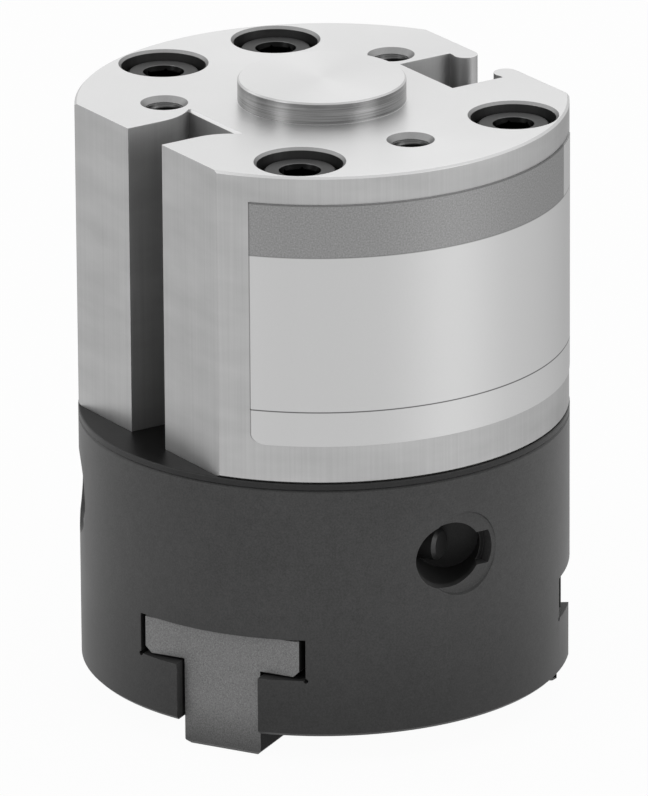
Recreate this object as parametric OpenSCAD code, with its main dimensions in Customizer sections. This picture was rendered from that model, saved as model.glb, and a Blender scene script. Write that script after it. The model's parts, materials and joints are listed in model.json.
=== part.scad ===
// Three-jaw centric gripper, air driven, with lever drive and T-shaped jaws.
// Z = 0 is the mounting face, +Z points out of it, and the jaws are at the -Z end.
// Jaws lie at 90, 210 and 330 degrees about Z; the name label is centred on -Y.
// The jaws are drawn fully open, with the piston on its lower stop.

/* [Aluminium cylinder body] */
// Diameter of the cylinder body
body_d = 43.9; // [43.6:0.1:44]
// Height of the cylinder body from the mounting face down
body_h = 28.4; // [28:0.1:32]
// Distance across the two side flats
flats_w = 37.4; // [37:0.1:38]
// Diameter of the locating boss
boss_d = 15; // [13:0.5:18]
// Height of the locating boss
boss_h = 2; // [1:0.25:3]
// Width between the rounded lips of the right sensor groove
groove_round_w = 4.2; // [4:0.1:5]
// Width between the sharp lips of the left sensor groove
groove_sharp_w = 5.5; // [5:0.1:6]

/* [Black jaw body] */
// Diameter of the jaw body
base_d = 44; // [44:0.1:46]
// Height of the jaw body
base_h = 23.15; // [23:0.05:24.5]
// Thickness of the spacer plate between the two bodies
plate_t = 0.65; // [0.5:0.05:1]
// Width of the T-slot where the jaw heads run
slot_head_w = 16.3; // [15.9:0.1:16.5]
// Width of the T-slot where the jaw stems run
slot_stem_w = 8; // [7.7:0.1:8.2]

/* [Jaws] */
// Width of a jaw's T head
jaw_head_w = 15.2; // [14:0.1:15.3]
// Height of a jaw's T head
jaw_head_h = 3.55; // [3.3:0.05:3.6]
// Width of a jaw's stem
jaw_stem_w = 7.5; // [6:0.1:7.6]
// How far the stems stand out below the jaw body
jaw_drop = 2.5; // [1:0.1:5]
// Radius of a jaw's outer face with the jaws open
jaw_face_r = 20.6; // [19.5:0.1:21]
// Travel of each jaw from open to closed
jaw_travel = 2; // [1:0.1:2]

/* [Screws and holes] */
// Radius of the circle through the four cap screws
screw_r = 17.6; // [17.3:0.1:17.6]
// Diameter of the circle through the three mounting threads
mount_pcd = 28; // [27:0.5:30]
// Diameter of the mounting threads' holes
mount_thread_d = 3.3; // [3.2:0.1:3.5]

/* [Drive] */
// Bore of the cylinder
bore_d = 20; // [18:0.5:20]
// Diameter of the piston rod
rod_d = 8; // [7:0.5:9]
// Radius from the gripper's axis to the lever pins
pin_r = 9.7; // [9.5:0.1:10]
// Height of the lever pins below the mounting face
pin_drop = 36.3; // [36:0.1:36.6]
// Diameter of the lever pins
pin_d = 3; // [2.5:0.5:3]

/* [Hidden] */
$fn = 72;

// Directions of the three jaws, the four screws and the three mounting threads
jaw_a_angle = 90;
jaw_b_angle = 210;
jaw_c_angle = 330;
jaw_angles = [jaw_a_angle, jaw_b_angle, jaw_c_angle];
screw_angles = [70, 110, 230, 310];
thread_angles = [30, 150, 270];

eps = 0.02;               // overshoot of every cut past the face it opens
slip = 0.03;              // radial clearance of a running fit
edge = 0.4;               // chamfer of turned inner pieces
fine_edge = 0.2;          // chamfer of machined outer edges and of small turned pieces
body_r = body_d / 2;
base_r = base_d / 2;
body_bottom = -body_h;
base_top = body_bottom - plate_t;
base_bottom = base_top - base_h;

// Top face and cylinder bore
boss_edge = 0.15;
bore_lead = 0.4;          // lead-in at the open end of the bore
mount_thread_depth = 9;
mount_thread_edge = 0.48;

// Sensor grooves
groove_wall_x = 11.4;     // inner wall, measured from the gripper's axis
groove_ear = 4.2;         // half width at the inner wall
groove_wall_edge = 0.25;  // chamfer on the inner wall's top edge
groove_lip_r = 1.1;       // radius of the right groove's full-round lips
groove_neck_x = 14.9;     // where the left groove's parallel mouth ends
groove_flare_r = 5;       // arc from there to the ears

// Jaw guide
slot_top = base_bottom + 9.15;
slot_ledge = base_bottom + 5.3;
slot_relief_r = 0.22;     // relief run along the lower corners of each T-slot's wide part
jaw_top = slot_top - slip;
jaw_ledge = jaw_top - jaw_head_h;
jaw_bottom = base_bottom - jaw_drop;
jaw_root_r = 7.2;         // radius of a jaw's inner end, jaws open
jaw_tip = 0.35;           // chamfer of the outer face's lower edge

// Lever drive
pin_z = -pin_drop;
lever_t = 4;              // thickness of a lever
lever_play = 0.3;         // play of a lever in its slot, side to side
arm_in = 5.1;             // pin to the middle of the inner arm's rounded end
arm_down = 9.1;           // pin to the middle of the lower arm's rounded end
ball_in_r = 1.6;
ball_down_r = 2;
hub_r = 2.8;
swing = asin(jaw_travel / 2 / arm_down);     // lever angle each side of upright
piston_travel = 2 * arm_in * sin(swing);
rest_drop = piston_travel / 2;               // spool below its middle position at rest
pin_start = -13.7;        // along each pin, from the middle of its lever
pin_end = 16.3;
pin_head_bore_d = 6;      // wide bore that the pin is put in through
pin_tail_bore_d = 3.2;    // bore beyond the far end of the pin
spot_face_d = 7.4;        // flat sunk round each pair of crossing pin bores
spot_face_depth = 0.35;
pin_notch_h = 3.1;        // square notch that opens the way out of each pin
pin_notch_r = 3.3;        // how far it reaches from the middle of the spot face
pin_notch_depth = 1.6;

// Cylinder, from the top down
bore_top = -8;
guide_top = -22.5;
guide_flange_d = 26;
guide_flange_h = 2.6;
guide_cord = 1.25;        // cord of the guide's O-ring
seal_pocket_d = rod_d + 4;
seal_pocket_h = 2.4;
bush_d = rod_d + 2;
bush_l = 4;
bumper_t = 1.5;
bumper_d = 17;
bumper_bore_d = 11;
piston_bottom = guide_top + bumper_t;
piston_top = bore_top - bumper_t - piston_travel;
piston_h = piston_top - piston_bottom;
nut_h = 2.6;
nut_af = 7;
spigot_d = 4.6;           // rod's threaded end that carries the piston

// Rod spool that the levers ride in
spool_z = pin_z - rest_drop;
spool_gap = 2 * (ball_in_r + slip);
spool_flange = 2.2;
spool_d = 12;
spool_core_d = 5.4;
cavity_d = 13.4;
lever_slot_r = 13.6;      // how far out the lever slots reach
lever_slot_over = 5.1;    // how far above the pins they reach

// Cap screw M4
screw_d = 4;
screw_head_d = 7;
screw_head_h = 4;
screw_l = 32;
screw_recess = 0.8;       // head below the mounting face
counterbore_d = 7.6;
counterbore_edge = 0.25;
screw_seat = -screw_recess - screw_head_h;
screw_hole_d = screw_d + 0.5;
screw_hexagon = 3;        // across the flats of the socket
screw_socket_depth = 2;
screw_socket_mouth = 3.75;
screw_socket_lead = 0.4;  // depth of the steep lead-in at the socket's mouth

// Air ports on the back of the cylinder body
port_d = 4.2;
port_depth = 6;
port_zs = [bore_top - 1.4, guide_top + 0.9];
port_passage_d = 1.4;
port_edge = 0.5;

// Finger threads in the jaws' undersides
finger_d = 2.5;
finger_depth = 5;
finger_edge = 0.35;
finger_rs = [10.4, 16.8];

// Label
label_top = -2.55;
label_bottom = -24.85;
label_half_angle = 50.8;
label_t = 0.12;
label_corner = 0.9;       // rounding of the two lower corners

// ---- shared shapes ----

// Cylinder standing on z0 and ending at z1, with 45 degree chamfers at either end
module turned(d, z0, z1, chamfer0 = 0, chamfer1 = 0) {
    r = d / 2;
    rotate_extrude() polygon([
        [0, z0], [r - chamfer0, z0], [r, z0 + chamfer0], [r, z1 - chamfer1], [r - chamfer1, z1], [0, z1]
    ]);
}

// Turned ring of rectangular section
module ring(d_in, d_out, z0, z1, chamfer = 0) {
    a = d_in / 2;
    b = d_out / 2;
    rotate_extrude() polygon([
        [a, z0], [b - chamfer, z0], [b, z0 + chamfer], [b, z1 - chamfer], [b - chamfer, z1], [a, z1]
    ]);
}

// Ring of round section, as an O-ring
module o_ring(d_mid, d_cord, z) {
    rotate_extrude() translate([d_mid / 2, z]) circle(d = d_cord, $fn = 24);
}

// Hole from z0 up to z1, and a chamfer at its mouth on z1
module hole(d, z0, z1, mouth = 0) {
    translate([0, 0, z0]) cylinder(d = d, h = z1 - z0 + eps);
    if (mouth > 0)
        translate([0, 0, z1 - mouth]) cylinder(d1 = d, d2 = d + 2 * mouth + 2 * eps, h = mouth + eps);
}

// Places a child drawn along +X, with Z up, in the direction of each angle
module around(angles) {
    for (a = angles) rotate(a) children();
}

// Lays a cylinder drawn along Z onto the line of a lever pin, for the jaw at +X.
// The line runs in the +Y direction at the height of the pins.
module on_pin_line(radius = pin_r) {
    translate([radius, 0, pin_z]) rotate([-90, 0, 0]) children();
}

// ---- cylinder body ----

// Plan of the body: a disc with two flats
module body_plan() {
    intersection() {
        circle(r = body_r, $fn = 180);
        square([flats_w, body_d + 1], center = true);
    }
}

// Plans of the two sensor grooves, both drawn on the +X side. The round one is a square pocket behind
// two full-round lips. The sharp one has a parallel mouth that flares by an arc to its inner wall.
module round_groove_plan() {
    nose_x = flats_w / 2 - groove_lip_r;
    wide = groove_round_w / 2 + groove_lip_r;
    difference() {
        union() {
            translate([groove_wall_x, -groove_ear])
                square([nose_x - groove_lip_r + 0.1 - groove_wall_x, 2 * groove_ear]);
            translate([nose_x - groove_lip_r, -wide]) square([2 * groove_lip_r + 1, 2 * wide]);
        }
        for (side = [-1, 1]) translate([nose_x, side * wide]) circle(r = groove_lip_r, $fn = 48);
    }
}
module sharp_groove_plan() {
    half = groove_sharp_w / 2;
    translate([groove_neck_x - eps, -half]) square([flats_w / 2 - groove_neck_x + 2, 2 * half]);
    difference() {
        translate([groove_wall_x, -groove_ear]) square([groove_neck_x - groove_wall_x, 2 * groove_ear]);
        for (side = [-1, 1])
            translate([groove_neck_x, side * (half + groove_flare_r)]) circle(r = groove_flare_r, $fn = 48);
    }
}
module sensor_groove() {
    translate([0, 0, body_bottom - 1]) linear_extrude(body_h + 2) children();
    reach = groove_wall_edge + eps;
    translate([groove_wall_x, 0, 0]) rotate([90, 0, 0]) linear_extrude(2 * groove_ear, center = true)
        polygon([[-reach, eps], [eps, eps], [eps, -reach]]);
}

module cylinder_body() {
    color("silver") difference() {
        union() {
            intersection() {
                translate([0, 0, body_bottom]) linear_extrude(body_h) body_plan();
                turned(body_d, body_bottom, 0, fine_edge, fine_edge);
            }
            turned(boss_d, -1, boss_h, 0, boss_edge);
        }
        // sensor grooves: rounded lips on the right, sharp ones on the left
        sensor_groove() round_groove_plan();
        rotate(180) sensor_groove() sharp_groove_plan();
        // bore, and a lead-in for the guide's spigot
        translate([0, 0, body_bottom - eps]) cylinder(d = bore_d, h = bore_top - body_bottom + eps);
        translate([0, 0, body_bottom - eps])
            cylinder(d1 = bore_d + 2 * bore_lead, d2 = bore_d, h = bore_lead);
        // counterbored screw holes
        around(screw_angles) translate([screw_r, 0, 0]) {
            hole(counterbore_d, screw_seat, 0, counterbore_edge);
            translate([0, 0, body_bottom - 1]) cylinder(d = screw_hole_d, h = body_h);
        }
        // mounting threads
        around(thread_angles) translate([mount_pcd / 2, 0, 0])
            hole(mount_thread_d, -mount_thread_depth, 0, mount_thread_edge);
        // air ports on the back, each with a narrow passage into the bore
        for (z = port_zs) translate([0, body_r, z]) rotate([90, 0, 0]) {
            translate([0, 0, -1]) cylinder(d = port_d, h = port_depth + 1);
            cylinder(d = port_passage_d, h = body_r - bore_d / 2 + 1);
            translate([0, 0, -eps]) cylinder(d1 = port_d + 2 * port_edge, d2 = port_d, h = port_edge);
        }
    }
}

// ---- jaw body ----

// Stands a section up so that it runs outward along +X from x0 to x1
module run_out(x0, x1) {
    translate([x0, 0, 0]) rotate([90, 0, 90]) linear_extrude(x1 - x0) children();
}

// Plate between the two bodies, pierced for the guide's spigot and the screws
module spacer_plate() {
    color([0.15, 0.15, 0.16]) difference() {
        turned(base_d, base_top, body_bottom, 0.14, 0.08);
        translate([0, 0, base_top - 1]) cylinder(d = bore_d + 0.2, h = plate_t + 2);
        around(screw_angles)
            translate([screw_r, 0, base_top - 1]) cylinder(d = screw_hole_d, h = plate_t + 2);
    }
}

// Plan of three channels that run out from the middle along the jaws
module channels(width) {
    around(jaw_angles) translate([0, -width / 2]) square([base_r + 1, width]);
}

module jaw_body() {
    lever_slot_w = lever_t + lever_play;
    stem_slot_h = slot_ledge - base_bottom + 1;
    color([0.16, 0.16, 0.17]) difference() {
        turned(base_d, base_bottom, base_top, 0.3, fine_edge);
        // T-slots: three wide channels that meet in the middle, and three narrow ones below them
        translate([0, 0, slot_ledge]) linear_extrude(slot_top - slot_ledge) channels(slot_head_w);
        translate([0, 0, base_bottom - 1]) linear_extrude(stem_slot_h + eps) channels(slot_stem_w);
        around(jaw_angles) {
            // reliefs along the lower corners of the wide channel
            for (side = [-1, 1])
                translate([cavity_d / 2, side * slot_head_w / 2, slot_ledge]) rotate([0, 90, 0])
                    cylinder(r = slot_relief_r, h = base_r, $fn = 24);
            // slot for the lever
            translate([0, -lever_slot_w / 2, slot_top - 1])
                cube([lever_slot_r, lever_slot_w, pin_z + lever_slot_over - slot_top]);
            // pin bore, the wide bore it is put in through, and the way out beyond its far end
            on_pin_line() {
                translate([0, 0, pin_start]) cylinder(d = pin_d, h = pin_end - pin_start);
                translate([0, 0, -base_r]) cylinder(d = pin_head_bore_d, h = base_r + pin_start - 0.6);
                translate([0, 0, pin_end - 1]) cylinder(d = pin_tail_bore_d, h = base_r);
            }
        }
        // spot face round each pair of crossing bores, and the notch that opens the narrow one
        around(thread_angles) translate([base_r, 0, pin_z]) {
            translate([-spot_face_depth, 0, 0]) rotate([0, 90, 0])
                cylinder(d1 = spot_face_d, d2 = spot_face_d + 1, h = 1);
            intersection() {
                translate([-pin_notch_depth, 0, -pin_notch_h / 2])
                    cube([pin_notch_depth + 1, 2 * pin_notch_r, pin_notch_h]);
                rotate([0, 90, 0]) cylinder(r = pin_notch_r, h = 3 * pin_notch_depth, center = true);
            }
        }
        // seat for the rod guide, and the spool's cavity
        translate([0, 0, base_top - guide_flange_h])
            cylinder(d = guide_flange_d + 0.1, h = guide_flange_h + eps);
        translate([0, 0, slot_top - 1]) cylinder(d = cavity_d, h = base_top - slot_top);
        // threaded holes for the cap screws
        around(screw_angles) translate([screw_r, 0, 0])
            hole(screw_d, screw_seat - screw_l - 1, base_top, 0.3);
    }
}

// ---- fixed pieces of the cylinder ----

module rod_guide() {
    color("goldenrod") difference() {
        union() {
            turned(bore_d - 0.1, base_top - 1, guide_top, 0, edge);
            turned(guide_flange_d, base_top - guide_flange_h, base_top, fine_edge, fine_edge);
        }
        translate([0, 0, base_top - 5]) cylinder(d = rod_d + 0.16, h = 20);
        // groove for the O-ring
        rotate_extrude() translate([bore_d / 2 - guide_cord, guide_top - 3.3]) square([2, 1.9]);
        // pocket for the rod seal, and seat for the bush
        translate([0, 0, guide_top - seal_pocket_h]) cylinder(d = seal_pocket_d, h = 3);
        translate([0, 0, base_top - guide_flange_h - eps]) cylinder(d = bush_d, h = bush_l);
    }
}

module rod_bush() {
    z0 = base_top - guide_flange_h;
    color("peru") ring(rod_d + 2 * slip, bush_d, z0, z0 + bush_l - eps, 0.1);
}

module guide_o_ring() {
    color([0.1, 0.1, 0.1]) o_ring(bore_d - guide_cord, guide_cord, guide_top - 2.35);
}

// Lip seal: a heel and two lips that open upward
module rod_seal() {
    a = rod_d / 2 + slip;
    b = seal_pocket_d / 2 - eps;
    z = guide_top - seal_pocket_h;
    tip = z + 2.1;
    color([0.13, 0.13, 0.13]) rotate_extrude()
        polygon([[a, z], [b, z], [b, tip], [b - 0.5, tip], [(a + b) / 2, z + 1], [a + 0.5, tip], [a, tip]]);
}

module upper_bumper() {
    color("darkorange") ring(bumper_bore_d, bumper_d, bore_top - bumper_t, bore_top, 0.25);
}

module lower_bumper() {
    color("darkorange") ring(rod_d + 4.6, bumper_d, guide_top, guide_top + bumper_t, 0.25);
}

// Hexagon socket head cap screws
module cap_screws() {
    head_top = -screw_recess;
    color([0.2, 0.2, 0.2]) around(screw_angles) translate([screw_r, 0, 0]) difference() {
        union() {
            turned(screw_head_d, screw_seat, head_top, 0, 0.45);
            turned(screw_d, screw_seat - screw_l, screw_seat + 1, 0.6, 0);
        }
        translate([0, 0, head_top - screw_socket_depth])
            cylinder(d = screw_hexagon / cos(30), h = screw_socket_depth + eps, $fn = 6);
        translate([0, 0, head_top - screw_socket_lead])
            cylinder(d1 = screw_hexagon + 0.3, d2 = screw_socket_mouth, h = screw_socket_lead + eps);
    }
}

// Bare foil label wrapped on the front of the cylinder body, its lower corners rounded
module name_label() {
    half_w = body_r * sin(label_half_angle);
    half_h = (label_top - label_bottom) / 2;
    color([0.86, 0.86, 0.87]) intersection() {
        ring(body_d, body_d + 2 * label_t, label_bottom, label_top);
        translate([0, 0, (label_top + label_bottom) / 2]) rotate([90, 0, 0])
            linear_extrude(body_r + 1) difference() {
                square([2 * half_w, 2 * half_h], center = true);
                for (side = [-1, 1]) translate([side * half_w, -half_h]) difference() {
                    square(2 * label_corner, center = true);
                    translate([-side * label_corner, label_corner]) circle(r = label_corner, $fn = 48);
                }
            }
    }
}

module pivot_pin(angle) {
    color("gainsboro") rotate(angle) on_pin_line() turned(pin_d, pin_start, pin_end, 0.3, 0.3);
}

module pivot_pin_a() { pivot_pin(jaw_a_angle); }
module pivot_pin_b() { pivot_pin(jaw_b_angle); }
module pivot_pin_c() { pivot_pin(jaw_c_angle); }

// ---- pieces that ride on the piston ----

// Heights of the piston's grooves above its lower face
magnet_z = 0.9;
magnet_h = 2;
seal_z = 4;
seal_h = 1.9;
wear_z = 6.9;
wear_h = 1.6;

module piston() {
    r = bore_d / 2;
    color("silver") difference() {
        turned(bore_d - 0.16, piston_bottom, piston_top, 0.4, 0.4);
        translate([0, 0, piston_bottom - 1]) cylinder(d = spigot_d + 0.02, h = piston_h + 2);
        translate([0, 0, piston_top - nut_h - 0.4]) cylinder(d = 9.4, h = nut_h + 1);
        rotate_extrude() {
            translate([r - 1.9, piston_bottom + magnet_z]) square([3, magnet_h]);
            translate([r - 1.7, piston_bottom + seal_z]) square([3, seal_h]);
            translate([r - 0.9, piston_bottom + wear_z]) square([3, wear_h]);
        }
    }
}

module piston_magnet() {
    z = piston_bottom + magnet_z;
    color("dimgray") ring(bore_d - 3.8, bore_d - 0.4, z, z + magnet_h, 0.15);
}

// Piston seal of double-lip section
module piston_seal() {
    r = bore_d / 2;
    z = piston_bottom + seal_z;
    lip = 0.55;
    color([0.1, 0.1, 0.1]) rotate_extrude()
        polygon([
            [r - 1.7, z], [r - 0.6, z], [r - slip, z + 0.15], [r - slip, z + lip],
            [r - 0.5, z + seal_h / 2], [r - slip, z + seal_h - lip], [r - slip, z + seal_h - 0.15],
            [r - 0.6, z + seal_h], [r - 1.7, z + seal_h]
        ]);
}

// Guide band with the scarf gap that lets it spring into its groove
module wear_ring() {
    z = piston_bottom + wear_z;
    color("beige") difference() {
        ring(bore_d - 1.8, bore_d - 2 * slip, z, z + wear_h, 0.1);
        translate([0, -bore_d / 2, z + wear_h / 2]) rotate([0, 30, 0]) cube([0.5, 4, 6], center = true);
    }
}

// Rod with the spool that drives the levers, turned from one bar
module piston_rod() {
    spool_top = spool_z + spool_gap / 2;
    spool_low = spool_z - spool_gap / 2;
    rod_r = rod_d / 2;
    spigot_r = spigot_d / 2;
    core_r = spool_core_d / 2;
    flange_r = spool_d / 2;
    c = 0.3;
    nut_top = piston_top - 0.2;
    color("lightsteelblue") difference() {
        rotate_extrude() polygon([
            [0, spool_low - spool_flange], [flange_r - c, spool_low - spool_flange],
            [flange_r, spool_low - spool_flange + c], [flange_r, spool_low - c], [flange_r - c, spool_low],
            [core_r, spool_low], [core_r, spool_top], [flange_r - c, spool_top], [flange_r, spool_top + c],
            [flange_r, spool_top + spool_flange - c], [flange_r - c, spool_top + spool_flange],
            [rod_r, spool_top + spool_flange], [rod_r, piston_bottom - c], [rod_r - c, piston_bottom],
            [spigot_r, piston_bottom], [spigot_r, nut_top - c], [spigot_r - c, nut_top], [0, nut_top]
        ]);
        // groove for the O-ring that seals the rod in the piston
        rotate_extrude() translate([spigot_r - 0.6, piston_bottom + 2]) square([1, 1.3]);
        // socket that holds the rod while its nut is tightened
        translate([0, 0, spool_low - spool_flange - eps]) cylinder(d = 3 / cos(30), h = 2, $fn = 6);
    }
}

module rod_o_ring() {
    color([0.1, 0.1, 0.1]) rotate_extrude()
        translate([spigot_d / 2 - 0.6, piston_bottom + 2.05]) square([0.58, 1.2]);
}

module rod_nut() {
    z0 = piston_top - nut_h - 0.4;
    color("gray") difference() {
        intersection() {
            translate([0, 0, z0]) cylinder(d = nut_af / cos(30), h = nut_h, $fn = 6);
            turned(nut_af / cos(30), z0, z0 + nut_h, 0, 0.5);
        }
        translate([0, 0, z0 - 1]) cylinder(d = spigot_d, h = nut_h + 2);
    }
}

// ---- levers ----

// Outline of a lever at its upright position, pin at the origin.
// X is outward from the gripper's axis and Y is up.
module lever_plan() {
    neck_in = 1.9;
    neck_down = 2.6;
    translate([-arm_in, -neck_in / 2]) square([arm_in, neck_in]);
    translate([-neck_down / 2, -arm_down]) square([neck_down, arm_down]);
    circle(r = hub_r, $fn = 48);
    translate([-arm_in, 0]) circle(r = ball_in_r, $fn = 36);
    translate([0, -arm_down]) circle(r = ball_down_r, $fn = 36);
    // fillet in the corner between the arms
    fillet = 1.6;
    difference() {
        translate([-neck_down / 2 - fillet, -neck_in / 2 - fillet]) square(fillet + 1);
        translate([-neck_down / 2 - fillet, -neck_in / 2 - fillet]) circle(r = fillet, $fn = 48);
    }
}

module lever(angle) {
    color("slategray") rotate(angle) translate([pin_r, 0, pin_z]) rotate([90, 0, 0])
        rotate([0, 0, swing]) difference() {
            translate([0, 0, -lever_t / 2]) linear_extrude(lever_t) lever_plan();
            cylinder(r = pin_d / 2 + slip, h = lever_t + 2, center = true);
        }
}

module lever_a() { lever(jaw_a_angle); }
module lever_b() { lever(jaw_b_angle); }
module lever_c() { lever(jaw_c_angle); }

// ---- jaws ----

// Section of a jaw, looking along it: X across, Y up
module jaw_section() {
    head = jaw_head_w / 2;
    stem = jaw_stem_w / 2;
    low_c = 0.6;              // chamfer under the head's outer corners
    top_c = 0.15;
    foot_c = 0.45;
    right = [
        [stem - foot_c, jaw_bottom], [stem, jaw_bottom + foot_c], [stem, jaw_ledge],
        [head - low_c, jaw_ledge], [head, jaw_ledge + low_c], [head, jaw_top - top_c],
        [head - top_c, jaw_top]
    ];
    left = [for (i = [len(right) - 1:-1:0]) [-right[i][0], right[i][1]]];
    polygon(concat(right, left));
}

// Jaw lying outward along +X
module jaw(angle) {
    pocket_w = lever_t + 0.4;
    pocket_l = 2 * (ball_down_r + slip);
    pocket_mid = pin_r + arm_down * sin(swing);
    pocket_floor = pin_z - arm_down - ball_down_r - 0.6;
    color([0.45, 0.45, 0.46]) rotate(angle) difference() {
        intersection() {
            run_out(0, jaw_face_r) jaw_section();
            // inner end tapered so that three jaws meet without touching
            translate([0, 0, jaw_bottom - 1]) linear_extrude(20)
                polygon([
                    [jaw_root_r, 0], [jaw_root_r, -2.5], [jaw_root_r + 3, -jaw_head_w / 2 - 1],
                    [jaw_face_r + 1, -jaw_head_w / 2 - 1], [jaw_face_r + 1, jaw_head_w / 2 + 1],
                    [jaw_root_r + 3, jaw_head_w / 2 + 1], [jaw_root_r, 2.5]
                ]);
            // lower outer edge of the stem broken
            translate([0, jaw_head_w, 0]) rotate([90, 0, 0]) linear_extrude(2 * jaw_head_w)
                polygon([
                    [0, jaw_bottom], [jaw_face_r - jaw_tip, jaw_bottom], [jaw_face_r, jaw_bottom + jaw_tip],
                    [jaw_face_r, jaw_top - fine_edge], [jaw_face_r - fine_edge, jaw_top], [0, jaw_top]
                ]);
        }
        // pocket for the lever's lower end
        translate([pocket_mid - pocket_l / 2, -pocket_w / 2, pocket_floor]) cube([pocket_l, pocket_w, 20]);
        // threads for the fingers
        for (r = finger_rs) translate([r, 0, jaw_bottom - eps]) {
            cylinder(d = finger_d, h = finger_depth);
            cylinder(d1 = finger_d + 2 * finger_edge, d2 = finger_d, h = finger_edge);
        }
    }
}

module jaw_a() { jaw(jaw_a_angle); }
module jaw_b() { jaw(jaw_b_angle); }
module jaw_c() { jaw(jaw_c_angle); }

cylinder_body();
spacer_plate();
jaw_body();
rod_guide();
rod_bush();
guide_o_ring();
rod_seal();
upper_bumper();
lower_bumper();
cap_screws();
name_label();
pivot_pin_a();
pivot_pin_b();
pivot_pin_c();
piston();
piston_magnet();
piston_seal();
wear_ring();
piston_rod();
rod_o_ring();
rod_nut();
lever_a();
lever_b();
lever_c();
jaw_a();
jaw_b();
jaw_c();
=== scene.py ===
import json
import math

import bpy
import numpy as np
from mathutils import Matrix, Vector


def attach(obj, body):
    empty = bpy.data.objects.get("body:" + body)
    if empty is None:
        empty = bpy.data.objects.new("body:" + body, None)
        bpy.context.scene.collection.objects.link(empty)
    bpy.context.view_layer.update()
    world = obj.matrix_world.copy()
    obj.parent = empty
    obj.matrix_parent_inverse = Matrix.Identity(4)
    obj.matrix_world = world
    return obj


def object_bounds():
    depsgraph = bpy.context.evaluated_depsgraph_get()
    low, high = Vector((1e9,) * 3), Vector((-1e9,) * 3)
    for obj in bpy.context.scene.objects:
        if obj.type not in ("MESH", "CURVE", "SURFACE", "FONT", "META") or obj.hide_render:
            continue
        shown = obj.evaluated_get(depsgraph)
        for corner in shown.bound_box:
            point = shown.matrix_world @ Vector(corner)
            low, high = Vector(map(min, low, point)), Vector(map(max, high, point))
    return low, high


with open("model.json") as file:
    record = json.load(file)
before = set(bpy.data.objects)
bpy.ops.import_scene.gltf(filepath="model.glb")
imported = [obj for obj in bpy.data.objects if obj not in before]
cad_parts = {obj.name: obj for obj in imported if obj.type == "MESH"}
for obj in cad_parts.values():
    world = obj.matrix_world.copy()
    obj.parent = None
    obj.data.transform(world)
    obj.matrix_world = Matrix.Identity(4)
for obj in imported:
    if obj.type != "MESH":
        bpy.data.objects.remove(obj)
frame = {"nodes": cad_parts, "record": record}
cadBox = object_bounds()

mm = 0.001
nodes = frame["nodes"]
mounts = {m["name"]: m for m in frame["record"]["mounts"]}


class Wire:
    # one socket of a node tree; an expression on wires adds its Math nodes
    def __init__(self, tree, socket):
        self.tree = tree
        self.socket = socket

    def math(self, operation, *others):
        node = self.tree.nodes.new("ShaderNodeMath")
        node.operation = operation
        for slot, value in zip(node.inputs, (self,) + others):
            plug(self.tree, slot, value)
        return Wire(self.tree, node.outputs[0])

    def __add__(self, other):
        return self.math("ADD", other)

    def __sub__(self, other):
        return self.math("SUBTRACT", other)

    def __mul__(self, other):
        return self.math("MULTIPLY", other)

    def __truediv__(self, other):
        return self.math("DIVIDE", other)

    def __rsub__(self, other):
        return self.math("MULTIPLY", -1.0).math("ADD", other)

    def __rtruediv__(self, other):
        return self.math("POWER", -1.0).math("MULTIPLY", other)

    __radd__ = __add__
    __rmul__ = __mul__


def plug(tree, slot, value):
    if isinstance(value, Wire):
        tree.links.new(value.socket, slot)
    elif value is not None:
        slot.default_value = value


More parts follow.
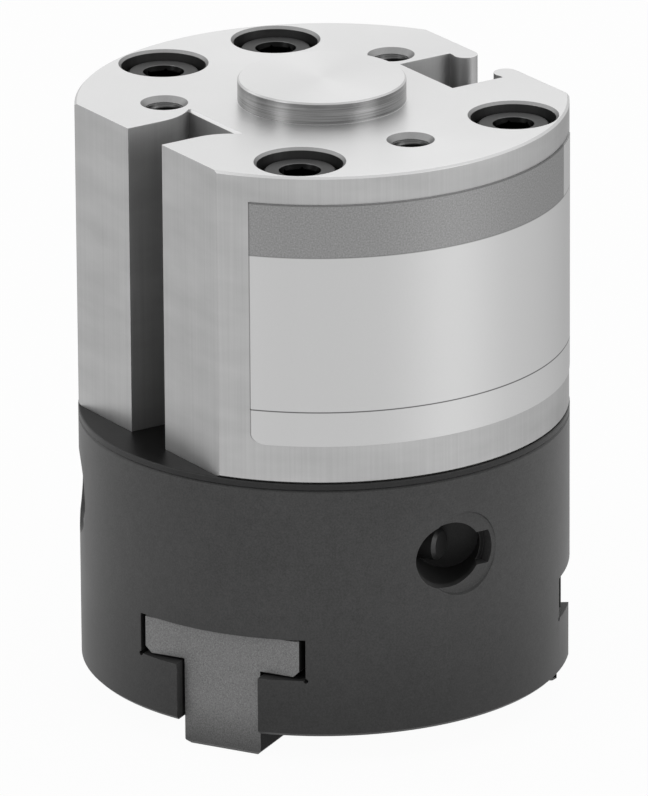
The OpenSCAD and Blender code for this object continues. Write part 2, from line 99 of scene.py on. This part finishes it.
class Finish:
    # a material in the making: its node tree, the place on the object in millimetres, and its shader
    def __init__(self, name):
        self.material = bpy.data.materials.new(name)
        self.material.use_nodes = True
        self.tree = self.material.node_tree
        self.shader = self.tree.nodes["Principled BSDF"]
        self.surface = self.tree.nodes["Material Output"].inputs["Surface"]
        metres = self.node("ShaderNodeTexCoord", out="Object")
        place = self.node("ShaderNodeVectorMath", {"operation": "SCALE"}, {"Vector": metres, "Scale": 1 / mm})
        self.x, self.y, self.z = self.split(place)
        self.facing = self.split(self.node("ShaderNodeNewGeometry", out="Normal"))

    def node(self, kind, settings=None, values=None, out=0):
        made = self.tree.nodes.new(kind)
        for key, value in (settings or {}).items():
            setattr(made, key, value)
        for key, value in (values or {}).items():
            plug(self.tree, made.inputs[key], value)
        return Wire(self.tree, made.outputs[out])

    def split(self, vector):
        parts = self.tree.nodes.new("ShaderNodeSeparateXYZ")
        plug(self.tree, parts.inputs[0], vector)
        return [Wire(self.tree, socket) for socket in parts.outputs]

    def join(self, x, y, z):
        return self.node("ShaderNodeCombineXYZ", {}, {0: x, 1: y, 2: z})

    def radius(self, x=0.0, y=0.0):
        # distance from an upright line
        dx, dy = self.x - x, self.y - y
        return (dx * dx + dy * dy).math("SQRT")

    def nearest(self, circle, angles):
        # distance from the nearest of some holes on a circle
        away = None
        for angle in angles:
            turn = math.radians(angle)
            one = self.radius(circle * math.cos(turn), circle * math.sin(turn))
            away = one if away is None else away.math("MINIMUM", one)
        return away

    def inHoles(self, circle, angles, reach, soft=0.04):
        return self.under(self.nearest(circle, angles), reach, soft)

    def noise(self, vector, detail=4.0, rough=0.55):
        return self.node("ShaderNodeTexNoise", {"noise_dimensions": "3D"},
                         {"Vector": vector, "Scale": 1.0, "Detail": detail, "Roughness": rough})

    def grain(self, perMm, tall=None, detail=4.0, rough=0.55):
        # noise with so many grains to a millimetre across, and another number up and down
        up = perMm if tall is None else tall
        return self.noise(self.join(self.x * perMm, self.y * perMm, self.z * up), detail, rough)

    def rings(self, pitch, drift=0.04):
        # marks of a turning tool, seen on a face square to the axis; drift lets them change on their way round
        return self.noise(self.join(self.radius() / pitch, self.x * drift, self.y * drift), detail=3.0, rough=0.6)

    def step(self, value, low, high):
        # 0 below low, 1 above high, smooth between
        return self.node("ShaderNodeMapRange", {"interpolation_type": "SMOOTHSTEP"},
                         {"Value": value, "From Min": low, "From Max": high})

    def over(self, value, edge, soft):
        # rises to 1 from the edge on, over the length soft
        return self.step(value, edge, edge + soft)

    def under(self, value, edge, soft):
        # falls to 0 from the edge on, over the length soft
        return 1 - self.step(value, edge, edge + soft)

    def band(self, value, low, high, soft):
        # 1 between low and high, with both ends soft
        return self.over(value, low - soft, 2 * soft) * self.under(value, high - soft, 2 * soft)

    def mix(self, factor, first, second, blend="MIX"):
        # colours only
        return self.node("ShaderNodeMix", {"data_type": "RGBA", "blend_type": blend},
                         {0: factor, 6: first, 7: second}, 2)

    def grey(self, value):
        return self.node("ShaderNodeCombineColor", {}, {0: value, 1: value, 2: value})

    def softened(self, edge, samples=6):
        # the normal as if every edge had a small radius
        return self.node("ShaderNodeBevel", {"samples": samples}, {"Radius": edge})

    def worn(self, edge, least=0.025, most=0.25):
        # 1 along sharp edges, 0 on the faces: how far the softened normal leans off the true one
        lean = self.node("ShaderNodeVectorMath", {"operation": "DOT_PRODUCT"},
                         {0: self.softened(edge), 1: self.node("ShaderNodeNewGeometry", out="Normal")}, "Value")
        return 1 - self.step(lean, 1 - most, 1 - least)

    def bump(self, height, depth, edge=None):
        return self.node("ShaderNodeBump", {},
                         {"Strength": 1.0, "Distance": depth, "Height": height,
                          "Normal": self.softened(edge) if edge else None})

    def set(self, shader=None, **values):
        for key, value in values.items():
            plug(self.tree, (shader or self.shader).inputs[key.replace("_", " ")], value)
        return self.material

    def cover(self, factor, **values):
        # one more shader over what is there, which shows where the factor is 1
        second = self.tree.nodes.new("ShaderNodeBsdfPrincipled")
        self.set(second, **values)
        below = Wire(self.tree, self.surface.links[0].from_socket)
        both = self.node("ShaderNodeMixShader", {}, {0: factor, 1: below, 2: Wire(self.tree, second.outputs[0])})
        plug(self.tree, self.surface, both)
        return self.material


def rgb(shade):
    return (shade, shade, shade, 1)


def between(first, second, mask):
    # numbers: the first where the mask is 0, the second where it is 1
    return first + (second - first) * mask


def sway(middle, *patterns):
    # the middle, moved either way by up to half of each pattern's share
    for pattern, share in patterns:
        middle = middle + share * (pattern - 0.5)
    return middle


acrossMarks = 0.25  # a quarter turn: the highlight stretches across the tool marks, not along them


# In the finishes' dictionaries lengths are in millimetres and heights are from the top face. A pair of numbers is
# where a mask starts, and how far on it has risen or fallen.

# cylinder body: a drawn and milled aluminium bar with a turned top face

aluminiumLook = {
    # turned faces that look up; their shade, above the sides', is partly the turned finish and partly painted light
    "topShade": 0.70, "topTone": 0.93, "topCloud": 0.07, "topRings": 0.04, "ringPitch": 0.11, "ringDepth": 0.0016,
    "topRoughness": 0.34, "topRoughCloud": 0.06, "topRoughRings": 0.06, "topStretch": 0.55, "topFacing": (0.55, 0.3),
    # drawn and milled sides
    "sideShade": 0.46, "sideTone": 0.94, "patchShare": 0.30, "streakShare": 0.22, "streaks": 5.0,
    "streakDepth": 0.0020, "edgeShare": 0.10, "edgeWidth": 0.135, "sideRim": 0.55,
    "sideRoughness": 0.44, "roughCloud": 0.08, "roughStreak": 0.10, "roughGroove": 0.08,
    # side of the boss; its shade, below the sides', is painted shade
    "bossShade": 0.24, "bossTone": 0.95, "bossLines": 5.5, "bossLineShare": 2.6, "bossDrift": 0.06,
    "bossDepth": 0.012, "bossRoughness": 0.3, "bossRoughLines": 0.2, "bossStretch": 0.8,
    "bossRadius": (7.6, 0.1), "bossFoot": (-0.05, 0.07),
    # painted shade in the grooves, the counterbores and their rims, and the countersinks
    "groovePaintedShade": 0.42, "grooveStart": (11.2, 0.3), "grooveEnd": (18.58, 0.08), "grooveHalf": (4.4, 0.2),
    "borePaintedShade": 0.09, "screwCircle": 17.6, "screwAngles": (70, 110, 230, 310),
    "screwBore": 3.85, "screwTop": (-0.29, 0.05), "rimPaintedShade": 0.30, "screwRim": 4.02,
    "sinkPaintedShade": 0.30, "threadCircle": 14.0, "threadAngles": (30, 150, 270), "threadMouth": 2.1,
    "edge": 0.09,
}


def bodyAluminium():
    look = aluminiumLook
    f = Finish("bodyAluminium")
    cloud = f.grain(0.12)
    screws, threads = (look["screwCircle"], look["screwAngles"]), (look["threadCircle"], look["threadAngles"])
    across, aside = f.x.math("ABSOLUTE"), f.y.math("ABSOLUTE")
    inGroove = (f.over(across, *look["grooveStart"]) * f.under(across, *look["grooveEnd"])
                * f.under(aside, *look["grooveHalf"]))
    inBore = f.inHoles(*screws, look["screwBore"]) * f.under(f.z, *look["screwTop"])
    inRim = f.inHoles(*screws, look["screwRim"])
    inSink = f.inHoles(*threads, look["threadMouth"])
    shade = rgb(look["sideShade"])
    # painted shade in the grooves, counterbores, counterbore rims and countersinks
    for mask, key in ((inGroove, "groovePaintedShade"), (inRim, "rimPaintedShade"), (inBore, "borePaintedShade"), (inSink, "sinkPaintedShade")):
        shade = f.mix(mask, shade, rgb(look[key]))
    streaks = f.grain(look["streaks"], tall=0.05)
    patches = f.grain(0.10, tall=0.35, detail=3.0)
    tone = sway(look["sideTone"], (patches, look["patchShare"]), (streaks, look["streakShare"]))
    tone = tone + look["edgeShare"] * f.worn(look["edgeWidth"] * mm)
    rough = sway(look["sideRoughness"], (cloud, look["roughCloud"]), (streaks, look["roughStreak"]))
    f.set(Base_Color=f.mix(1.0, shade, f.grey(tone), "MULTIPLY"), Metallic=1.0, Specular_Tint=rgb(look["sideRim"]),
          Roughness=rough + look["roughGroove"] * inGroove,
          Normal=f.bump(streaks, look["streakDepth"] * mm, look["edge"] * mm))
    # the lines of the turning tool run round the boss, and stretch a highlight on its side up and down
    onBoss = f.under(f.radius(), *look["bossRadius"]) * f.over(f.z, *look["bossFoot"])
    around = f.join(f.x * look["bossDrift"], f.y * look["bossDrift"], f.z * look["bossLines"])
    lines = f.noise(around, detail=5.0, rough=0.75)
    # the boss side's dark shade is painted shade
    f.cover(onBoss, Base_Color=f.grey(look["bossShade"] * sway(look["bossTone"], (lines, look["bossLineShare"]))),
            Metallic=1.0, Anisotropic=look["bossStretch"], Anisotropic_Rotation=acrossMarks,
            Roughness=sway(look["bossRoughness"], (lines, look["bossRoughLines"])),
            Normal=f.bump(lines, look["bossDepth"] * mm, look["edge"] * mm))
    # the rings of a turned face that looks up show as a wedge of light through its middle
    rings = f.rings(look["ringPitch"])
    # the countersinks and counterbore rims are left out of the top, for their painted shade
    up = f.over(f.facing[2], *look["topFacing"]) * (1 - inSink) * (1 - inRim)
    tone = look["topTone"] + look["topCloud"] * cloud + look["topRings"] * rings
    rough = sway(look["topRoughness"], (cloud, look["topRoughCloud"]), (rings, look["topRoughRings"]))
    # over the top faces, a shade lighter than the sides', partly the turned finish and partly painted light
    return f.cover(up, Base_Color=f.grey(tone * look["topShade"]), Metallic=1.0, Roughness=rough,
                   Anisotropic=look["topStretch"], Anisotropic_Rotation=acrossMarks,
                   Normal=f.bump(rings, look["ringDepth"] * mm, look["edge"] * mm))


# jaw body and spacer: turned steel with a matte black oxide, rubbed lighter along its edges

blackLook = {
    "shade": 0.0696, "spacerShare": 0.35, "tone": 0.82, "cloudShare": 0.24, "grainShare": 1.1, "mottleShare": 0.25,
    "turnedShare": 0.10, "roughness": 0.46, "roughCloud": 0.12, "roughGrain": 0.08, "shine": 0.25,
    "wornShade": 0.17, "wornShare": 0.7, "wornPatches": (0.35, 0.3), "edge": 0.10,
    "grain": 0.005, "grainPart": 0.7, "turnedPart": 0.3,  # depth, and how much of it is grain and tool marks
    "ledgePaintedShade": 0.12, "ledgeFacing": (0.9, 0.08), "ledgeZ": (-29.5, 0.1),  # painted shadow: up-facing ledges above this height, under the aluminium, are darker
    "insidePaintedShade": 0.35, "insideR": (20.6, 0.5), "insideFacing": (-0.9, 0.4),  # painted shade on what lies inside the wall
    "lowPaintedShade": 0.60, "lowZ": (-53.5, 15.5),  # and painted shade over all of it towards its lower edge
}


def blackOxide(name, share=1.0):
    look = blackLook
    f = Finish(name)
    fine = f.grain(6.0, rough=0.7)
    turned = f.grain(0.15, tall=9.0, detail=3.0, rough=0.6)
    cloud = f.grain(0.15, detail=3.0)
    mottle = f.grain(1.2, detail=2.0)
    tone = sway(look["tone"], (cloud, look["cloudShare"]), (fine, look["grainShare"]), (mottle, look["mottleShare"]))
    tone = (tone + look["turnedShare"] * turned) * (look["shade"] * share)
    # painted shade towards the lower edge
    tone = tone * between(look["lowPaintedShade"], 1, f.over(f.z, *look["lowZ"]))
    rubbed = f.worn(look["edge"] * mm) * f.over(f.grain(1.3), *look["wornPatches"]) * look["wornShare"]
    tone = tone * (1 - rubbed) + rubbed * look["wornShade"]
    # painted shadow on the up-facing ledges
    ledge = f.over(f.facing[2], *look["ledgeFacing"]) * f.over(f.z, *look["ledgeZ"])
    # painted shade inside the wall
    inside = f.under(f.radius(), *look["insideR"]) * f.over(f.facing[2], *look["insideFacing"])
    tone = tone * between(1, look["ledgePaintedShade"], ledge) * between(1, look["insidePaintedShade"], inside)
    return f.set(Base_Color=f.grey(tone), Metallic=0.0, Specular_IOR_Level=look["shine"],
                 Roughness=sway(look["roughness"], (cloud, look["roughCloud"]), (fine, look["roughGrain"])),
                 Normal=f.bump(look["grainPart"] * fine + look["turnedPart"] * turned, look["grain"] * mm,
                               look["edge"] * mm))


# jaws: hardened steel, fine blasted on the outer and the mounting face; the sides are nearly black, which is painted
# shade

jawLook = {
    "shade": 0.19, "tone": 0.96, "cloudShare": 0.12, "edgeShare": 0.25, "metallic": 0.55, "roughness": 0.50,
    "grainsPerMm": 8.0, "grainShare": 2.2, "roughGrain": 0.2, "grain": 0.016, "edge": 0.08,
    # sideShade here is the near-black painted shade on the jaws' sides
    "sideShade": 0.016, "sideRoughness": 0.6, "sideShine": 0.08,
    "outFacing": (0.4, 0.4), "downFacing": (-0.8, 0.4),  # the faces that are blasted and keep their shade; the rest get painted shade
    "lowPaintedShade": 0.35, "lowZ": (-55.5, 6.0),  # painted shade towards its lower edge
}


def blastedSteel():
    look = jawLook
    f = Finish("blastedSteel")
    fine = f.grain(look["grainsPerMm"], rough=0.7)
    cloud = f.grain(0.25, detail=2.0)
    # outward is 1 where a face looks away from the gripper's axis
    outward = (f.facing[0] * f.x + f.facing[1] * f.y) / f.radius()
    unshadedFaces = f.over(outward, *look["outFacing"]).math("MAXIMUM", f.under(f.facing[2], *look["downFacing"]))
    tone = sway(look["tone"], (fine, look["grainShare"])) + look["cloudShare"] * cloud
    tone = tone + look["edgeShare"] * f.worn(look["edge"] * mm)
    # painted shade towards the lower edge
    tone = tone * between(look["lowPaintedShade"], 1, f.over(f.z, *look["lowZ"]))
    normal = f.bump(fine, look["grain"] * mm, look["edge"] * mm)
    # the sides: a near-black painted shade
    f.set(Base_Color=f.grey(tone * look["sideShade"]), Specular_IOR_Level=look["sideShine"],
          Roughness=sway(look["sideRoughness"], (fine, look["roughGrain"])), Normal=normal)
    return f.cover(unshadedFaces, Base_Color=f.grey(tone * look["shade"]), Metallic=look["metallic"],
                   Roughness=sway(look["roughness"], (fine, look["roughGrain"])), Normal=normal)


# cap screws: black oxide too, with turned rings on each head and painted shade in the socket

screwLook = {
    "shade": 0.16, "tone": 0.85, "ringShare": 0.3, "ringPitch": 0.09, "wallPitch": 0.12, "ringSlice": 0.4,
    "ringDepth": 0.003, "metallic": 0.8, "rim": 0.3, "stretch": 0.3, "roughness": 0.30, "roughRings": 0.12,
    "socketPaintedShade": 0.004, "socketR": (1.86, 0.04), "socketTop": (-0.86, 0.06), "edge": 0.06,
}


def blackScrew():
    look = screwLook
    f = Finish("blackScrew")
    away = f.nearest(aluminiumLook["screwCircle"], aluminiumLook["screwAngles"])
    around = f.join(away / look["ringPitch"], look["ringSlice"], f.z / look["wallPitch"])
    rings = f.noise(around, detail=3.0, rough=0.6)
    # painted shade in the socket
    inSocket = f.under(away, *look["socketR"]) * f.under(f.z, *look["socketTop"])
    tone = (look["tone"] + look["ringShare"] * rings) * between(look["shade"], look["socketPaintedShade"], inSocket)
    return f.set(Base_Color=f.grey(tone), Metallic=look["metallic"], Specular_Tint=rgb(look["rim"]),
                 Anisotropic=look["stretch"], Roughness=sway(look["roughness"], (rings, look["roughRings"])),
                 Normal=f.bump(rings, look["ringDepth"] * mm, look["edge"] * mm))


# label: bare foil with a screened header band and one rule line, and nothing written on it

labelLook = {
    "foil": 0.58, "foilTone": 0.97, "paperShare": 0.06, "grain": 0.004, "metallic": 0.85, "rim": 0.5, "stretch": 0.6,
    "roughness": 0.48, "roughPaper": 0.1, "roughBand": 0.12, "edge": 0.03,
    "band": 0.31, "screen": 7.0, "screenShare": 0.7, "bandStep": 0.4,  # the band stands a little lower
    "bandTop": -1.55, "bandBottom": -7.4, "bandEnd": 41.5, "bandSoft": 0.04,
    # the rule line, and how strong the lines along the top, under the band and down the left edge are beside it
    "line": 0.13, "lineHalf": 0.055, "lineSoft": 0.03, "ruleZ": -21.68, "topLine": 0.7, "bandLine": 0.5,
    "leftLine": 0.45,
    "top": -2.55, "halfAngle": 50.8, "radius": 21.95,
}


def printedFoil():
    # across is the arc round the body from its front
    look = labelLook
    f = Finish("printedFoil")
    across = f.node("ShaderNodeMath", {"operation": "ARCTAN2"}, {0: f.x, 1: f.y * -1.0}) * look["radius"]
    left = -math.radians(look["halfAngle"]) * look["radius"]
    bandEnd = math.radians(look["bandEnd"]) * look["radius"]
    thin, soft, bandSoft = look["lineHalf"], look["lineSoft"], look["bandSoft"]
    band = f.band(f.z, look["bandBottom"], look["bandTop"], soft) * f.under(across, bandEnd - bandSoft, 2 * bandSoft)
    paper = f.grain(5.0, rough=0.6)
    screen = f.noise(f.join(across * look["screen"], 0.0, f.z * look["screen"]), detail=1.0, rough=0.4)
    foilTone = look["foil"] * (look["foilTone"] + look["paperShare"] * paper)
    bandTone = look["band"] * sway(1.0, (screen, look["screenShare"]))
    colour = f.mix(band, f.grey(foilTone), f.grey(bandTone))
    lines = (f.band(f.z, look["ruleZ"] - thin, look["ruleZ"] + thin, soft)
             + look["topLine"] * f.band(f.z, look["top"] - 2.2 * thin, look["top"] - 0.2 * thin, soft)
             + look["bandLine"] * f.band(f.z, look["bandBottom"] - thin, look["bandBottom"] + thin, soft)
             + look["leftLine"] * f.band(across, left, left + 2 * thin, soft))
    colour = f.mix(lines.math("MINIMUM", 1.0), colour, rgb(look["line"]))
    return f.set(Base_Color=colour, Metallic=look["metallic"], Specular_Tint=rgb(look["rim"]),
                 Anisotropic=look["stretch"], Anisotropic_Rotation=acrossMarks,
                 Roughness=sway(look["roughness"], (paper, look["roughPaper"])) + look["roughBand"] * band,
                 Normal=f.bump(paper - look["bandStep"] * band, look["grain"] * mm, look["edge"] * mm))


# the pieces inside, and the cut threads

steelLook = {
    # name: shade, roughness, metallic, pitch of the tool marks
    # the pins' dark shade is painted shade, where they sit in the keyhole
    "shadedGroundPin": (0.05, 0.45, 0.6, 0.08), "groundRod": (0.6, 0.15, 1.0, 0.08), "leverSteel": (0.25, 0.4, 1.0, 0.08),
    "zincNut": (0.5, 0.35, 1.0, 0.08), "pistonAluminium": (0.75, 0.3, 1.0, 0.08),
    # the cut threads' dark shade is painted shade, down in their holes
    "magnetBlock": (0.12, 0.6, 0.2, 0.08), "shadedCutThread": (0.14, 0.35, 1.0, 0.2), "jawThread": (0.2, 0.35, 1.0, 0.2),
}
steelMarks = {"tone": 0.88, "cloudShare": 0.12, "marksShare": 0.10, "roughMarks": 0.1, "drift": 0.2, "depth": 0.002,
              "edge": 0.05}
brassLook = {
    # name: colour, roughness
    "guideBrass": ((0.62, 0.47, 0.22), 0.3), "bushBronze": ((0.55, 0.36, 0.2), 0.4),
}
brassMarks = {"darkest": 0.82, "roughMarks": 0.1, "depth": 0.002}
mouldedLook = {
    # name: colour, roughness
    "sealRubber": ((0.02, 0.02, 0.02), 0.5), "bumperRubber": ((0.55, 0.22, 0.05), 0.4),
    "wearPlastic": ((0.7, 0.62, 0.45), 0.45),
}
mouldedGrain = {"darkest": 0.8, "roughGrain": 0.15, "depth": 0.01}


def groundSteel(name):
    look = steelMarks
    shade, roughness, metallic, pitch = steelLook[name]
    f = Finish(name)
    marks = f.grain(look["drift"] / pitch, tall=1 / pitch, detail=3.0, rough=0.6)
    cloud = f.grain(0.5, detail=3.0)
    tone = look["tone"] + look["cloudShare"] * cloud + look["marksShare"] * marks
    return f.set(Base_Color=f.grey(tone * shade), Metallic=metallic,
                 Roughness=sway(roughness, (marks, look["roughMarks"])),
                 Normal=f.bump(marks, look["depth"] * mm, look["edge"] * mm))


def tinted(f, pattern, colour, darkest):
    return f.mix(pattern, (*[c * darkest for c in colour], 1), (*colour, 1))


def tintedMetal(name):
    look = brassMarks
    colour, roughness = brassLook[name]
    f = Finish(name)
    marks = f.grain(2.0, tall=10.0, detail=3.0, rough=0.6)
    return f.set(Base_Color=tinted(f, marks, colour, look["darkest"]), Metallic=1.0,
                 Roughness=sway(roughness, (marks, look["roughMarks"])), Normal=f.bump(marks, look["depth"] * mm))


def moulded(name):
    look = mouldedGrain
    colour, roughness = mouldedLook[name]
    f = Finish(name)
    fine = f.grain(6.0, rough=0.6)
    return f.set(Base_Color=tinted(f, fine, colour, look["darkest"]),
                 Roughness=sway(roughness, (fine, look["roughGrain"])), Normal=f.bump(fine, look["depth"] * mm))


def dressNodes():
    # each finish, and how the names of its nodes begin; the longest beginning that fits a node is taken
    rubber, bumper = moulded("sealRubber"), moulded("bumperRubber")
    finishes = {
        "cylinder_body": bodyAluminium(), "spacer_plate": blackOxide("blackPlate", blackLook["spacerShare"]),
        "jaw_body": blackOxide("blackOxide"), "jaw": blastedSteel(), "name_label": printedFoil(),
        "cap_screws": blackScrew(), "pivot_pin": groundSteel("shadedGroundPin"), "piston_rod": groundSteel("groundRod"),
        "lever": groundSteel("leverSteel"), "rod_nut": groundSteel("zincNut"),
        "piston": groundSteel("pistonAluminium"), "piston_magnet": groundSteel("magnetBlock"),
        "rod_guide": tintedMetal("guideBrass"), "rod_bush": tintedMetal("bushBronze"),
        "wear_ring": moulded("wearPlastic"), "guide_o_ring": rubber, "rod_seal": rubber, "piston_seal": rubber,
        "rod_o_ring": rubber, "upper_bumper": bumper, "lower_bumper": bumper,
    }
    longestFirst = sorted(finishes, key=len, reverse=True)
    for name, piece in nodes.items():
        start = next(k for k in longestFirst if name.startswith(k))
        piece.data.materials.clear()
        piece.data.materials.append(finishes[start])
    print("finishes:", len(set(finishes.values())))


dressNodes()


# thread linings, one piece for each group of holes

threadLook = {
    "mountingPitch": 0.7, "portPitch": 0.8, "fingerPitch": 0.5, "depthShare": 0.27,
    "mountingMouth": 0.55, "mountingLength": 8.2,  # below the top face
    "air": 0.02, "thinnest": 0.01, "leastFade": 0.05, "samplesPerPitch": 8, "around": 40,
}


def frameOf(axis):
    # two directions square to an axis, and the axis itself
    along = Vector(axis).normalized()
    side = along.orthogonal().normalized()
    return np.array(side), np.array(along.cross(side)), np.array(along)


def threadTube(mouth, axis, length, radius, pitch):
    # A closed sleeve inside a hole. Its outer wall is a plain cylinder, air short of the hole's radius. Its inner
    # wall is a helix of vees: at height h and turn u, phase = fraction of (h / pitch - u), and the wall stands in
    # from the outer one by thinnest + depth * (1 - |2 * phase - 1|), fading out over the first and the last pitch.
    look = threadLook
    inner = np.linspace(0, length, int(length / pitch * look["samplesPerPitch"]) + 1)
    heights = np.concatenate([inner, inner[::-1]])[:, None]
    turns = np.arange(look["around"])[None, :] / look["around"]
    phase = (heights / pitch - turns) % 1
    fade = np.clip(np.minimum(heights, length - heights) / pitch, look["leastFade"], 1)
    depth = look["depthShare"] * pitch * fade * (1 - np.abs(2 * phase - 1)) + look["thinnest"]
    onInner = (np.arange(len(heights)) < len(inner))[:, None]
    reach = radius - look["air"] - np.where(onInner, depth, 0)
    side, other, along = frameOf(axis)
    angle = turns * math.tau
    points = (side * (reach * np.cos(angle))[..., None] + other * (reach * np.sin(angle))[..., None]
              - along * (heights + 0 * turns)[..., None])
    return np.array(mouth) + points


def gridPiece(name, grids, material, body):
    # Each grid closes on itself both ways. A quad's corners are (i, j), (i, j + 1), (i + 1, j + 1), (i + 1, j),
    # turned round if the grid's volume, the sum of its triangles' triple products, comes out negative.
    allPoints, allQuads, start = [], [], 0
    for points in grids:
        rows, columns = points.shape[:2]
        index = np.arange(rows * columns).reshape(rows, columns)
        right, down = np.roll(index, -1, axis=1), np.roll(index, -1, axis=0)
        quads = np.stack([index, right, np.roll(right, -1, axis=0), down], axis=-1).reshape(-1, 4)
        flat = points.reshape(-1, 3)
        a, b, c, d = (flat[quads[:, k]] - flat.mean(axis=0) for k in range(4))
        volume = (np.cross(a, b) * c).sum() + (np.cross(a, c) * d).sum()
        allQuads.append((quads if volume > 0 else quads[:, ::-1]) + start)
        allPoints.append(flat)
        start += len(flat)
    mesh = bpy.data.meshes.new(name)
    corners = np.concatenate(allQuads).astype(np.int32)
    mesh.vertices.add(start)
    mesh.vertices.foreach_set("co", (np.concatenate(allPoints) * mm).astype(np.float32).ravel())
    mesh.loops.add(corners.size)
    mesh.loops.foreach_set("vertex_index", corners.ravel())
    mesh.polygons.add(len(corners))
    mesh.polygons.foreach_set("loop_start", np.arange(0, corners.size, 4, dtype=np.int32))
    mesh.update(calc_edges=True)
    mesh.materials.append(material)
    piece = bpy.data.objects.new(name, mesh)
    bpy.context.scene.collection.objects.link(piece)
    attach(piece, body)
    print(name, len(corners), "faces")


def tubeIn(mount, pitch):
    # the lining of a threaded hole whose mount gives its middle, its axis and its length
    length = mount["dims"]["length_mm"]
    mouth = np.array(mount["pos_m"]) / mm + np.array(mount["axis"]) * length / 2
    return threadTube(mouth, mount["axis"], length, mount["dims"]["r_mm"], pitch)


def threadLinings():
    look = threadLook
    cut = groundSteel("shadedCutThread")
    dims = mounts["mounting_threads"]["dims"]
    grids = []
    for angle in aluminiumLook["threadAngles"]:
        turn, circle = math.radians(angle), dims["pcd_mm"] / 2
        mouth = (circle * math.cos(turn), circle * math.sin(turn), -look["mountingMouth"])
        grids.append(threadTube(mouth, (0, 0, 1), look["mountingLength"], dims["hole_r_mm"], look["mountingPitch"]))
    gridPiece("mountingThreadLining", grids, cut, "housing")
    ports = [tubeIn(mounts[name], look["portPitch"]) for name in ("open_port", "close_port")]
    gridPiece("portThreadLining", ports, cut, "housing")
    dark = groundSteel("jawThread")
    for letter in "abc":
        holes = [mounts["jaw_" + letter + place] for place in ("_inner_thread", "_outer_thread")]
        grids = [tubeIn(hole, look["fingerPitch"]) for hole in holes]
        gridPiece("fingerThreadLining" + letter.upper(), grids, dark, "jaw_" + letter)


threadLinings()


# floor, light and camera

stageLook = {
    "floorSize": 8.0, "gap": 0.01 * mm, "floorShade": 0.88, "world": 0.45,
    "whiteShare": 0.96, "worldSeen": 1.0,  # what the eye and reflections see of the floor and the world
}


def seenShare(tree, share):
    # the share for eye, mirror and glass rays, and 0 for the rays that light things
    path = tree.nodes.new("ShaderNodeLightPath")
    rays = Wire(tree, path.outputs["Is Camera Ray"])
    for other in ("Is Glossy Ray", "Is Transmission Ray"):
        rays = rays.math("MAXIMUM", Wire(tree, path.outputs[other]))
    return rays * share


def makeFloor():
    half = stageLook["floorSize"] / 2
    lowest = Vector(cadBox[0]).z - stageLook["gap"]
    mesh = bpy.data.meshes.new("floor")
    corners = [(-half, -half, lowest), (half, -half, lowest), (half, half, lowest), (-half, half, lowest)]
    mesh.from_pydata(corners, [], [(0, 1, 2, 3)])
    floor = bpy.data.objects.new("floor", mesh)
    bpy.context.scene.collection.objects.link(floor)
    f = Finish("paleFloor")
    f.tree.nodes.remove(f.shader)
    pale = f.node("ShaderNodeBsdfDiffuse", {}, {"Color": rgb(stageLook["floorShade"])})
    white = f.node("ShaderNodeEmission", {}, {"Color": rgb(1.0)})
    seen = seenShare(f.tree, stageLook["whiteShare"])
    both = f.node("ShaderNodeMixShader", {}, {0: seen, 1: pale, 2: white})
    plug(f.tree, f.surface, both)
    mesh.materials.append(f.material)


def makeWorld():
    world = bpy.data.worlds.new("studio")
    bpy.context.scene.world = world
    world.use_nodes = True
    low, high = stageLook["world"], stageLook["worldSeen"]
    background = world.node_tree.nodes["Background"]
    plug(world.node_tree, background.inputs["Color"], rgb(1.0))
    plug(world.node_tree, background.inputs["Strength"], seenShare(world.node_tree, high - low) + low)


makeFloor()
makeWorld()

cameraLook = {
    # the point it looks at and the distance from there, in millimetres, and its long lens
    "azimuth": -33.6, "elevation": 19.782, "roll": -0.385, "distance": 1000.384,
    "aim": (-0.4760, -0.7268, -27.9135), "lens": 505.9899, "sensor": 36, "clip": (0.05, 20),
}
lampLook = {
    # name: azimuth from the camera's side, elevation, distance, width, height, watts
    "overheadBox": (150, 62, 0.9, 0.8, 0.8, 1.2),
    "leftBox": (-60, 32, 0.9, 0.25, 0.4, 1.1),
    "leftRearBox": (-115, 15, 0.9, 0.4, 0.8, 0.9),
    "rightBox": (60, 16, 0.9, 0.5, 0.5, 1.5),
}


def direction(azimuth, elevation):
    # azimuth 0 is the -Y side, 90 the +X side
    a, e = math.radians(azimuth), math.radians(elevation)
    return Vector((math.sin(a) * math.cos(e), -math.cos(a) * math.cos(e), math.sin(e)))


def makeLamps():
    middle = (Vector(cadBox[0]) + Vector(cadBox[1])) / 2
    for name, (azimuth, elevation, distance, wide, tall, watts) in lampLook.items():
        data = bpy.data.lights.new(name, "AREA")
        data.shape = "RECTANGLE"
        data.size = wide
        data.size_y = tall
        data.energy = watts
        lamp = bpy.data.objects.new(name, data)
        away = direction(cameraLook["azimuth"] + azimuth, elevation)
        lamp.location = middle + away * distance
        lamp.rotation_euler = away.to_track_quat("Z", "Y").to_euler()
        bpy.context.scene.collection.objects.link(lamp)


def makeCamera():
    look = cameraLook
    back = direction(look["azimuth"], look["elevation"])
    right = Vector((0, 0, 1)).cross(back).normalized()
    up = back.cross(right)
    roll = math.radians(look["roll"])
    rolledRight = right * math.cos(roll) + up * math.sin(roll)
    rolledUp = up * math.cos(roll) - right * math.sin(roll)
    data = bpy.data.cameras.new("camera")
    data.sensor_width = look["sensor"]
    data.lens = look["lens"]
    data.clip_start, data.clip_end = look["clip"]
    camera = bpy.data.objects.new("camera", data)
    turn = Matrix((rolledRight, rolledUp, back)).transposed().to_4x4()
    place = Vector(look["aim"]) + back * look["distance"]
    camera.matrix_world = Matrix.Translation(place * mm) @ turn
    bpy.context.scene.collection.objects.link(camera)
    bpy.context.scene.camera = camera


makeLamps()
makeCamera()
bpy.context.scene.view_settings.view_transform = "Standard"
print("stage ready")
